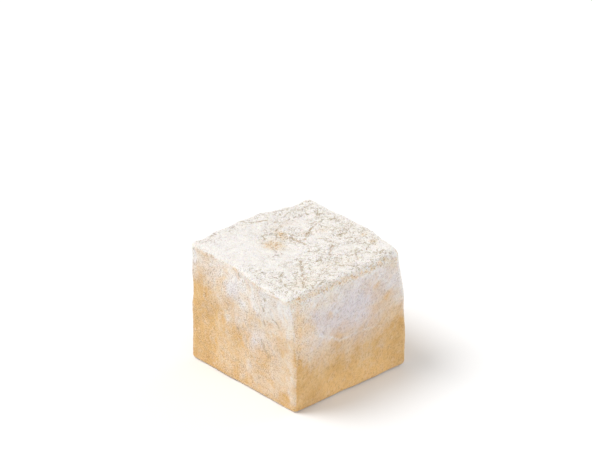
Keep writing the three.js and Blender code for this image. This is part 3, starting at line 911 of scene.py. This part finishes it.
@dataclass(frozen=True)
class LoosePowder:
    """One kind of loose powder: uneven grains, partly sunk in the coat.

    Attributes:
        name: the piece's name.
        count: how many grains.
        rounds: how often a grain's shape is refined; 1 gives it 20 faces, and 2 gives it 80.
        sizes: width of the smallest and of the largest.
        sunk: share of a grain that is under the coat's surface.
        on_top: how densely they lie on the top.
        on_sides: how densely they cling to the powdered parts of the sides.
        on_edges: how densely they cling where the coat is coarsest, as on the rubbed edges.
        seed: for the draw.
        roughness: how uneven a grain's surface is, as a share of its radius.
        stretch: how much narrower and wider a grain may be along each axis.
        skew: how much small grains outnumber large ones; 1 is evenly.
        lowest: how high the lowest grains keep above the floor.
    """

    name: str
    count: int
    rounds: int
    sizes: tuple[float, float]
    sunk: float
    on_top: float
    on_sides: float
    on_edges: float
    seed: int
    roughness: float = 0.16
    stretch: tuple[float, float] = (0.75, 1.25)
    skew: float = 1.6
    lowest: float = 0.02

    def _grain(self) -> tuple[np.ndarray, np.ndarray]:
        """A round grain of width 1.

        Returns:
            Its points, and its triangles as rows of their numbers.
        """
        bm = bmesh.new()
        bmesh.ops.create_icosphere(bm, subdivisions=self.rounds, radius=0.5)
        points = np.array([vert.co[:] for vert in bm.verts])
        faces = np.array([[vert.index for vert in face.verts] for face in bm.faces])
        bm.free()
        return points, faces

    def _places(self, skin: Skin, draw: np.random.Generator) -> tuple[np.ndarray, np.ndarray, np.ndarray]:
        """Draws where the grains lie.

        Args:
            skin: what they lie on.
            draw: what draws them.

        Returns:
            Their places, the directions out of the cube there, and how amber each one looks.
        """
        laid = skin.laid
        top = smooth_step(*FACING, skin.out[:, 2])
        bottom = smooth_step(-0.1, -0.5, skin.out[:, 2])
        clumped = 0.25 + smooth_step(-0.3, 0.5, cloud(skin.points, 1.6, 3, self.seed))
        edge = np.clip(laid.grit - 0.55, 0, 0.35)
        weight = self.on_top * top + self.on_sides * (1 - top) * laid.cover**3 + self.on_edges * edge
        weight *= clumped * (1 - bottom) * (1 - 0.9 * laid.crack)
        corner = skin.points[skin.quads]
        size = np.linalg.norm(np.cross(corner[:, 2] - corner[:, 0], corner[:, 3] - corner[:, 1]), axis=1)
        chance = weight[skin.quads].mean(1) * size
        picked = draw.choice(len(chance), self.count, p=chance / chance.sum())
        u, v = draw.random((2, self.count, 1))
        share = np.stack(((1 - u) * (1 - v), u * (1 - v), u * v, (1 - u) * v), axis=1)
        quads = skin.quads[picked]
        out = (skin.out[quads] * share).sum(1)
        bare = (1 - laid.cover) * (1 - 0.7 * laid.painted_glow)
        amber = (bare[quads] * share[:, :, 0]).sum(1) * draw.uniform(0.3, 1.7, self.count)
        return (skin.points[quads] * share).sum(1), out / np.linalg.norm(out, axis=1)[:, None], amber

    def build(self, skin: Skin, finish: bpy.types.Material) -> bpy.types.Object:
        """Scatters the grains over the skin.

        Args:
            skin: what they lie on.
            finish: their material.

        Returns:
            The new object.
        """
        draw = np.random.default_rng(self.seed)
        shape, faces = self._grain()
        places, out, amber = self._places(skin, draw)
        low, high = self.sizes
        width = low * (high / low) ** (draw.random(self.count) ** self.skew)
        width = width * (0.7 + 0.3 * np.abs(out[:, 2]))
        uneven = draw.standard_normal((self.count, len(shape), 1)).clip(-1.6, 1.6)
        grains = shape * (1 + self.roughness * uneven)
        grains *= draw.uniform(*self.stretch, (self.count, 1, 3))
        turns = turned_at_random(self.count, draw)
        grains = np.einsum("nij,nkj->nki", turns, grains) * width[:, None, None]
        grains += (places + out * width[:, None] * (0.5 - self.sunk))[:, None, :]
        grains[:, :, 2] = np.maximum(grains[:, :, 2], self.lowest)
        mesh = bpy.data.meshes.new(self.name)
        firsts = len(shape) * np.arange(self.count)[:, None, None]
        triangles = (faces + firsts).reshape(-1, 3)
        mesh.from_pydata((grains.reshape(-1, 3) * MM).tolist(), [], triangles.tolist())
        layer = mesh.attributes.new("amber", "FLOAT", "POINT")
        layer.data.foreach_set("value", np.repeat(amber, len(shape)))
        mesh.polygons.foreach_set("use_smooth", np.ones(len(mesh.polygons), bool))
        return placed(self.name, mesh, finish)


GRAINS = LoosePowder(
    name="powder_grains",
    count=9800,
    rounds=1,
    sizes=(0.16, 0.36),
    sunk=0.7,
    on_top=1.0,
    on_sides=0.1,
    on_edges=1.6,
    seed=3,
)
CRUMBS = LoosePowder(
    name="powder_crumbs",
    count=1600,
    rounds=2,
    sizes=(0.26, 0.46),
    sunk=0.7,
    on_top=0.15,
    on_sides=0.02,
    on_edges=0.3,
    seed=5,
)


# ------------------------------------------------------------------------------
# Finishes


class Mixing(Enum):
    """How one colour goes over another: it takes its place, or shades it."""

    COVER = "MIX"
    SHADE = "MULTIPLY"


class CellPart(Enum):
    """What a net of cells measures the distance to: the nearest cell's middle, or the net's lines."""

    MIDDLE = "F1"
    LINES = "DISTANCE_TO_EDGE"


class Signal:
    """A socket that gives one number, written into expressions like a number."""

    def __init__(self, tree: bpy.types.NodeTree, socket: bpy.types.NodeSocket) -> None:
        """Keeps the tree and the socket."""
        self.tree = tree
        self.socket = socket

    def _maths(self, operation: str, *terms: Signal | float, clamp: bool = False) -> Signal:
        """Adds a Math node on some terms.

        Args:
            operation: what it does.
            terms: signals or numbers, in order.
            clamp: whether the result is held between 0 and 1.

        Returns:
            The result.
        """
        node = self.tree.nodes.new("ShaderNodeMath")
        node.operation = operation
        node.use_clamp = clamp
        for socket, term in zip(node.inputs, terms):
            if isinstance(term, Signal):
                self.tree.links.new(term.socket, socket)
            else:
                socket.default_value = term
        return Signal(self.tree, node.outputs[0])

    def __add__(self, other: Signal | float) -> Signal:
        """Sum."""
        return self._maths("ADD", self, other)

    __radd__ = __add__

    def __sub__(self, other: Signal | float) -> Signal:
        """Difference."""
        return self._maths("SUBTRACT", self, other)

    def __rsub__(self, other: Signal | float) -> Signal:
        """Difference from a number."""
        return self._maths("SUBTRACT", other, self)

    def __mul__(self, other: Signal | float) -> Signal:
        """Product."""
        return self._maths("MULTIPLY", self, other)

    __rmul__ = __mul__

    def __abs__(self) -> Signal:
        """Size without its sign."""
        return self._maths("ABSOLUTE", self)

    def clamped(self) -> Signal:
        """The value held between 0 and 1."""
        return self._maths("ADD", self, 0.0, clamp=True)


class Recipe:
    """One material's nodes, made by few general methods."""

    def __init__(self, name: str) -> None:
        """Starts an empty material."""
        self.material = bpy.data.materials.new(name)
        self.material.use_nodes = True
        self.tree = self.material.node_tree
        self.tree.nodes.clear()
        place = self.node("ShaderNodeTexCoord")
        scaled = self.node(
            "ShaderNodeVectorMath", {"operation": "SCALE"}, {0: place.outputs["Object"], "Scale": 1 / MM}
        )
        self.place = scaled.outputs[0]

    def node(
        self,
        kind: str,
        settings: dict[str, Any] | None = None,
        inputs: dict[str | int, Any] | None = None,
    ) -> bpy.types.Node:
        """Adds any node.

        Args:
            kind: the node's type.
            settings: its own settings, which are set first.
            inputs: a value, a socket or a signal for each of its sockets, by name or number.

        Returns:
            The node.
        """
        node = self.tree.nodes.new(kind)
        for key, value in (settings or {}).items():
            setattr(node, key, value)
        for key, value in (inputs or {}).items():
            if isinstance(value, Signal):
                value = value.socket
            if isinstance(value, bpy.types.NodeSocket):
                self.tree.links.new(value, node.inputs[key])
            else:
                node.inputs[key].default_value = value
        return node

    def attribute(self, name: str) -> Signal:
        """A value that the mesh stores at its points."""
        node = self.node("ShaderNodeAttribute", {"attribute_name": name})
        return Signal(self.tree, node.outputs["Fac"])

    def noise(self, size: float, detail: float = 2.0, roughness: float = 0.5, place: Any = None) -> Signal:
        """Smooth noise of 0 to 1 about a half.

        Args:
            size: how wide its lumps are, in millimetres.
            detail: how many times finer lumps are added.
            roughness: how strong the finer ones are.
            place: socket of the place to read, if not the point's own.

        Returns:
            Its value.
        """
        node = self.node(
            "ShaderNodeTexNoise",
            {"noise_dimensions": "3D"},
            {"Vector": place or self.place, "Scale": 1 / size, "Detail": detail, "Roughness": roughness},
        )
        return Signal(self.tree, node.outputs["Fac"])

    def drawn_out(self, stretch: Triple, turn: Triple = (0, 0, 0)) -> bpy.types.NodeSocket:
        """The place as a pattern reads it that is turned, by angles, and stretched along its own axes."""
        node = self.node(
            "ShaderNodeMapping",
            {"vector_type": "TEXTURE"},
            {"Vector": self.place, "Rotation": turn, "Scale": stretch},
        )
        return node.outputs[0]

    def shaken(self, size: float, by: float) -> bpy.types.NodeSocket:
        """The place moved about by noise, so that lines drawn through it wander.

        Args:
            size: how wide the noise's lumps are, in millimetres.
            by: twice the furthest that it moves a point.

        Returns:
            Socket of the moved place.
        """
        drift = self.node(
            "ShaderNodeTexNoise",
            {},
            {"Vector": self.place, "Scale": 1 / size, "Detail": 1.0},
        )
        off = self.node(
            "ShaderNodeVectorMath",
            {"operation": "SUBTRACT"},
            {0: drift.outputs["Color"], 1: (0.5, 0.5, 0.5)},
        )
        moved = self.node(
            "ShaderNodeVectorMath",
            {"operation": "MULTIPLY_ADD"},
            {0: off.outputs[0], 1: (by, by, by), 2: self.place},
        )
        return moved.outputs[0]

    def cells(self, size: float, to: CellPart = CellPart.MIDDLE, place: Any = None) -> Signal:
        """Distance in an uneven net of cells, as a share of a cell's size.

        Args:
            size: how wide a cell is, in millimetres.
            to: what the distance is measured to.
            place: socket of the place to read, if not the point's own.

        Returns:
            The distance.
        """
        node = self.node(
            "ShaderNodeTexVoronoi",
            {"feature": to.value},
            {"Vector": place or self.place, "Scale": 1 / size},
        )
        return Signal(self.tree, node.outputs["Distance"])

    def step(self, value: Signal, low: float, high: float) -> Signal:
        """Rises smoothly from 0 at low to 1 at high."""
        node = self.node(
            "ShaderNodeMapRange",
            {"interpolation_type": "SMOOTHSTEP", "clamp": True},
            {"Value": value, "From Min": low, "From Max": high, "To Min": 0.0, "To Max": 1.0},
        )
        return Signal(self.tree, node.outputs["Result"])

    def blend(
        self,
        share: Signal,
        first: Any,
        second: Any,
        how: Mixing = Mixing.COVER,
    ) -> bpy.types.NodeSocket:
        """Puts one colour over another.

        Args:
            share: how much of the second there is, 0 to 1.
            first: the colour below, or its socket.
            second: the colour above, or its socket.
            how: whether it covers or shades.

        Returns:
            Socket of the mixed colour.
        """
        node = self.tree.nodes.new("ShaderNodeMix")
        node.data_type = "RGBA"
        node.blend_type = how.value
        self.tree.links.new(share.socket, node.inputs[0])
        for socket, value in ((node.inputs[6], first), (node.inputs[7], second)):
            if isinstance(value, bpy.types.NodeSocket):
                self.tree.links.new(value, socket)
            else:
                socket.default_value = (*value, 1.0)
        return node.outputs[2]

    def finish(
        self,
        colour: Any,
        roughness: Any,
        normal: Any,
        constants: dict[str, Any],
    ) -> bpy.types.Material:
        """Ends the material in one Principled shader.

        Args:
            colour: socket of the base colour.
            roughness: signal or number.
            normal: socket of the normal.
            constants: values of its other sockets.

        Returns:
            The material.
        """
        shader = self.node(
            "ShaderNodeBsdfPrincipled",
            {"subsurface_method": "RANDOM_WALK"},
            {"Base Color": colour, "Roughness": roughness, "Normal": normal, **constants},
        )
        self.node("ShaderNodeOutputMaterial", {}, {"Surface": shader.outputs[0]})
        return self.material


@dataclass(frozen=True)
class Readings:
    """What the coat's finish reads at a point.

    Attributes:
        cover, cool, painted_glow, grit, pitted, crack: the coat's layers.
        frost: the finest grain of the powder.
        specks: a coarser one.
        granules: clusters of grains.
        clouds: where the gel is paler.
        hatch: fine slanting marks.
    """

    cover: Signal
    cool: Signal
    painted_glow: Signal
    grit: Signal
    pitted: Signal
    crack: Signal
    frost: Signal
    specks: Signal
    granules: Signal
    clouds: Signal
    hatch: Signal


@dataclass(frozen=True)
class PowderedGelFinish:
    """The coat over the gel: white powder that hides amber gel more or less.

    Attributes:
        gel, gel_pale, gel_painted_glow: the gel, where it is paler, and the painted glow of light coming
            back out of it.
        powder, powder_cool: the powder, and the finest powder.
        hollow, hollow_gel: what shades the gaps between grains, over powder and over gel.
        pit_gel_and_shade, crack: the gel seen at the bottom of a pit and of a crack, darkened by painted
            shade.
        grain, speck, granule, cloud: widths of the powder's and the gel's patterns, finest first.
        scratch, scratch_length: width of the fine slanting marks, and how many times longer they are.
        pit_net, flake_net, plate_net: widths of the cells that place pits, flakes and plates.
        hair: width of the waves that hair cracks follow.
        thinning, flaking, crazing: widths of the patches without pits, with flakes and with plates.
        relief: height of the finest relief.
    """

    gel: Colour = (0.735, 0.45, 0.17)
    gel_pale: Colour = (0.79, 0.515, 0.225)
    gel_painted_glow: Colour = (0.99, 0.64, 0.27)
    powder: Colour = (0.925, 0.892, 0.852)
    powder_cool: Colour = (0.785, 0.725, 0.745)
    hollow: Colour = (0.42, 0.355, 0.295)
    hollow_gel: Colour = (0.52, 0.40, 0.25)
    # the gel seen in pits and cracks, darkened by painted shade
    pit_gel_and_shade: Colour = (0.44, 0.355, 0.23)
    crack: Colour = (0.40, 0.27, 0.13)
    grain: float = 0.24
    speck: float = 0.5
    granule: float = 1.3
    cloud: float = 3.0
    scratch: float = 0.22
    scratch_length: float = 2.6
    pit_net: float = 0.7
    flake_net: float = 1.7
    plate_net: float = 3.6
    hair: float = 1.5
    thinning: float = 2.2
    flaking: float = 1.1
    crazing: float = 4.0
    relief: float = 0.16

    def _film(self, here: Readings) -> Signal:
        """How much powder there is, grain by grain.

        Args:
            here: what the finish reads.

        Returns:
            The powder's share, 0 to 1.
        """
        loose = ((here.grit - 0.6) * 2.5).clamped()
        speckle = (here.frost - 0.5) * (0.3 + 2.0 * loose)
        speckle = speckle + (here.granules - 0.5) * 0.6 + (here.hatch - 0.5) * 0.3
        speckle = speckle * (0.2 + here.grit) + (here.specks - 0.5) * 2.2 * here.pitted
        return (here.cover + speckle * (1.15 - here.cover)).clamped()

    def _unshaded(self, mix: Recipe, here: Readings, film: Signal) -> bpy.types.NodeSocket:
        """The gel, brightened by painted glow, and the powder on it.

        Args:
            mix: the material's nodes.
            here: what the finish reads.
            film: the powder's share.

        Returns:
            Socket of the colour.
        """
        gel = mix.blend(mix.step(here.clouds, 0.35, 0.65), self.gel, self.gel_pale)
        # painted glow: the gel is painted brighter where light would come back out of it
        gel = mix.blend(here.painted_glow * 0.9, gel, self.gel_painted_glow)
        cool = (here.cool + (here.granules - 0.5) * 0.8).clamped()
        powder = mix.blend(cool, self.powder, self.powder_cool)
        return mix.blend(film, gel, powder)

    def _shade(self, here: Readings) -> Signal:
        """How deep the shade in the gaps between the grains is.

        Args:
            here: what the finish reads.

        Returns:
            The shade, 0 to 1.
        """
        coarse = (here.grit * 2.0).clamped()
        fine = (0.57 - here.frost) * 3.4 * coarse + (0.55 - here.hatch) * 3.4 * (1 - coarse)
        rough = (0.47 - here.frost) * 10.0 + (0.44 - here.specks) * 4.0
        shade = fine.clamped() * (1 - here.pitted) + rough.clamped() * here.pitted
        return (shade * (0.35 + here.grit * 0.6) * ((here.granules - 0.5) * 1.6 + 1)).clamped()

    def _pinpricks(self, mix: Recipe, here: Readings) -> tuple[Signal, Signal]:
        """Pits and hair cracks.

        Args:
            mix: the material's nodes.
            here: what the finish reads.

        Returns:
            The pits and the hair cracks, 0 to 1.
        """
        dots = mix.step(mix.cells(self.pit_net) + (here.frost - 0.5) * 0.3, 0.26, 0.10)
        thinned = mix.step(mix.noise(self.thinning, 2.0), 0.58, 0.42)
        pits = dots * mix.step(here.pitted - thinned * 0.8, 0.1, 0.6)
        hairs = mix.step(abs(mix.noise(self.hair, 2.0) - 0.5), 0.030, 0.008)
        return pits, hairs * mix.step(here.pitted - thinned, -0.1, 0.5)

    def _crazed(self, mix: Recipe, here: Readings) -> Signal:
        """The gaps between the finest plates and flakes.

        Args:
            mix: the material's nodes.
            here: what the finish reads.

        Returns:
            The gaps, 0 to 1.
        """
        wandering = mix.shaken(1.6, 1.5)
        plates = mix.cells(self.plate_net, CellPart.LINES, wandering) + (here.frost - 0.5) * 0.05
        flakes = mix.cells(self.flake_net, CellPart.LINES, wandering) + (here.frost - 0.5) * 0.08
        crazed = mix.step(plates, 0.045, 0.020) * mix.step(mix.noise(self.crazing, 1.0), 0.44, 0.54)
        flaked = mix.step(flakes, 0.090, 0.040) * mix.step(mix.noise(self.flaking, 1.0), 0.48, 0.58)
        return ((crazed + flaked * 0.8) * mix.step(here.pitted, 0.15, 0.7)).clamped()

    def make(self) -> bpy.types.Material:
        """Makes the material.

        Returns:
            The material.
        """
        mix = Recipe("powdered_gel")
        slanting = mix.drawn_out((self.scratch_length, 1.0, 1.0), (0.0, -math.pi / 4, 0.0))
        here = Readings(
            **{name: mix.attribute(name) for name in Coat.layers},
            frost=mix.noise(self.grain, 0.0),
            specks=mix.noise(self.speck, 1.0),
            granules=mix.noise(self.granule, 1.0),
            clouds=mix.noise(self.cloud, 2.0),
            hatch=mix.noise(self.scratch, 0.0, place=slanting),
        )
        film = self._film(here)
        colour = self._unshaded(mix, here, film)
        hollow = mix.blend((film - here.painted_glow).clamped(), self.hollow_gel, self.hollow)
        colour = mix.blend(self._shade(here), colour, hollow, Mixing.SHADE)

        pits, hairs = self._pinpricks(mix, here)
        crazed = self._crazed(mix, here)
        crack = mix.step(here.crack + (here.frost - 0.5) * 0.4 + (here.granules - 0.5) * 0.8, 0.50, 0.82)
        # pits, hair cracks, crazing and cracks: the gel seen in them, darkened by painted shade
        colour = mix.blend(pits * 0.4, colour, self.pit_gel_and_shade)
        colour = mix.blend((hairs * 0.4 + crazed * 0.7).clamped(), colour, self.pit_gel_and_shade)
        colour = mix.blend(crack * (0.28 + 0.27 * film), colour, self.crack)

        height = here.frost * 0.7 + here.granules * 0.6 + here.hatch * 0.3
        height = height - pits * 0.6 - hairs * 0.3 - (crack + crazed) * 0.6
        bump = mix.node(
            "ShaderNodeBump",
            {},
            {"Strength": 0.9, "Distance": self.relief * MM, "Height": height},
        )
        return mix.finish(
            colour,
            0.62 + film * 0.33,
            bump.outputs[0],
            {
                "Subsurface Weight": 0.15,
                "Subsurface Radius": (1.0, 0.55, 0.25),
                "Subsurface Scale": 0.8 * MM,
                "Specular IOR Level": 0.3,
                "Sheen Weight": 0.1,
                "Sheen Roughness": 0.6,
            },
        )


@dataclass(frozen=True)
class LoosePowderFinish:
    """Loose sugar powder, which looks a little amber where gel shines through it.

    Attributes:
        white, cream: the powder's two shades.
        amber: its look where gel shines through.
        grain, patch: widths of its relief's and of its shades' patterns.
        relief: height of its relief.
    """

    white: Colour = (0.92, 0.89, 0.855)
    cream: Colour = (0.87, 0.83, 0.76)
    amber: Colour = (0.84, 0.66, 0.45)
    grain: float = 0.35
    patch: float = 1.2
    relief: float = 0.05

    def make(self) -> bpy.types.Material:
        """Makes the material.

        Returns:
            The material.
        """
        mix = Recipe("loose_powder")
        frost = mix.noise(self.grain, 2.0)
        colour = mix.blend(mix.step(mix.noise(self.patch, 1.0), 0.35, 0.65), self.white, self.cream)
        colour = mix.blend((mix.attribute("amber") * 0.8).clamped(), colour, self.amber)
        bump = mix.node(
            "ShaderNodeBump",
            {},
            {"Strength": 0.5, "Distance": self.relief * MM, "Height": frost},
        )
        return mix.finish(colour, 0.9, bump.outputs[0], {"Specular IOR Level": 0.3})


# ------------------------------------------------------------------------------
# The studio


@dataclass(frozen=True)
class Lamp:
    """A distant soft lamp.

    Attributes:
        name: its name.
        comes_from: the direction that it shines from.
        strength: how strong it is.
        width: how wide it looks, in degrees.
        colour: its colour.
    """

    name: str
    comes_from: Triple
    strength: float
    width: float
    colour: Colour = (1.0, 1.0, 1.0)


@dataclass
class Studio:
    """A pale floor, soft light and the camera. Lengths in metres.

    Attributes:
        aim: the point that the camera looks at.
        distance: how far from it the camera is.
        azimuth, elevation: the camera's direction from it, in degrees.
        lens, sensor: focal length and sensor's width, in millimetres.
        clip_start: nearest that the camera sees.
        sky: strength of the even light from all around.
        floor_side, floor_colour: of the floor.
        lamps: the lamps.
    """

    aim: Triple = (0.0024, 0.0037, 0.0301)
    distance: float = 0.3581
    azimuth: float = -40.80
    elevation: float = 27.12
    lens: float = 97.3
    sensor: float = 36.0
    clip_start: float = 0.01
    sky: float = 0.55
    floor_side: float = 12.0
    floor_colour: Colour = (0.94, 0.94, 0.94)
    lamps: tuple[Lamp, ...] = (
        Lamp("key", (-0.38, 0.33, 0.865), 1.79, 30.0),
        Lamp("fill", (-0.3, -0.8, 0.5), 0.26, 60.0),
        Lamp("rim", (0.95, -0.1, 0.25), 0.75, 40.0),
    )

    def camera(self) -> None:
        """Places the camera on its line of sight."""
        turn, rise = math.radians(self.azimuth), math.radians(self.elevation)
        level = math.cos(rise)
        back = Vector((math.sin(turn) * level, -math.cos(turn) * level, math.sin(rise)))
        data = bpy.data.cameras.new("camera")
        data.lens = self.lens
        data.sensor_width = self.sensor
        data.clip_start = self.clip_start
        camera = bpy.data.objects.new("camera", data)
        camera.location = Vector(self.aim) + back * self.distance
        camera.rotation_euler = back.to_track_quat("Z", "Y").to_euler()
        bpy.context.scene.collection.objects.link(camera)
        bpy.context.scene.camera = camera

    def light(self) -> None:
        """Hangs the lamps and lights the sky."""
        for lamp in self.lamps:
            data = bpy.data.lights.new(lamp.name, "SUN")
            data.energy = lamp.strength
            data.angle = math.radians(lamp.width)
            data.color = lamp.colour
            light = bpy.data.objects.new(lamp.name, data)
            light.rotation_euler = Vector(lamp.comes_from).to_track_quat("Z", "Y").to_euler()
            bpy.context.scene.collection.objects.link(light)
        world = bpy.data.worlds.new("sky")
        world.use_nodes = True
        tree = world.node_tree
        tree.nodes["Background"].inputs["Color"].default_value = (1.0, 1.0, 1.0, 1.0)
        tree.nodes["Background"].inputs["Strength"].default_value = self.sky
        bpy.context.scene.world = world
        bpy.context.scene.view_settings.view_transform = "Standard"

    def floor(self) -> None:
        """Lays the floor under the cube."""
        bm = bmesh.new()
        bmesh.ops.create_grid(bm, x_segments=1, y_segments=1, size=self.floor_side / 2)
        mesh = bpy.data.meshes.new("floor")
        bm.to_mesh(mesh)
        bm.free()
        mix = Recipe("pale_floor")
        shader = mix.node(
            "ShaderNodeBsdfPrincipled", {}, {"Base Color": (*self.floor_colour, 1.0), "Roughness": 0.8}
        )
        mix.node("ShaderNodeOutputMaterial", {}, {"Surface": shader.outputs[0]})
        mesh.materials.append(mix.material)
        floor = bpy.data.objects.new("floor", mesh)
        bpy.context.scene.collection.objects.link(floor)

    def build(self) -> None:
        """Sets up camera, light and floor."""
        self.camera()
        self.light()
        self.floor()


def corners(box: tuple[Vector, Vector]) -> list[list[float]]:
    """A box's two corners as plain lists of numbers."""
    return [[round(value, 6) for value in corner] for corner in box]


def main() -> None:
    """Builds the studio and the dressed cube."""
    logging.basicConfig(level=logging.INFO, format="%(name)s: %(message)s")
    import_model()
    Studio().build()

    skin = Skin(CutBlock(), PowderCoat())
    body = skin.build(PowderedGelFinish().make())
    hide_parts(NODE)
    loose = LoosePowderFinish().make()
    for piece in (body, *(kind.build(skin, loose) for kind in (GRAINS, CRUMBS))):
        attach(piece, BODY)
        LOG.info("%s: %d faces", piece.name, len(piece.data.polygons))


if __name__ == "__main__":
    main()
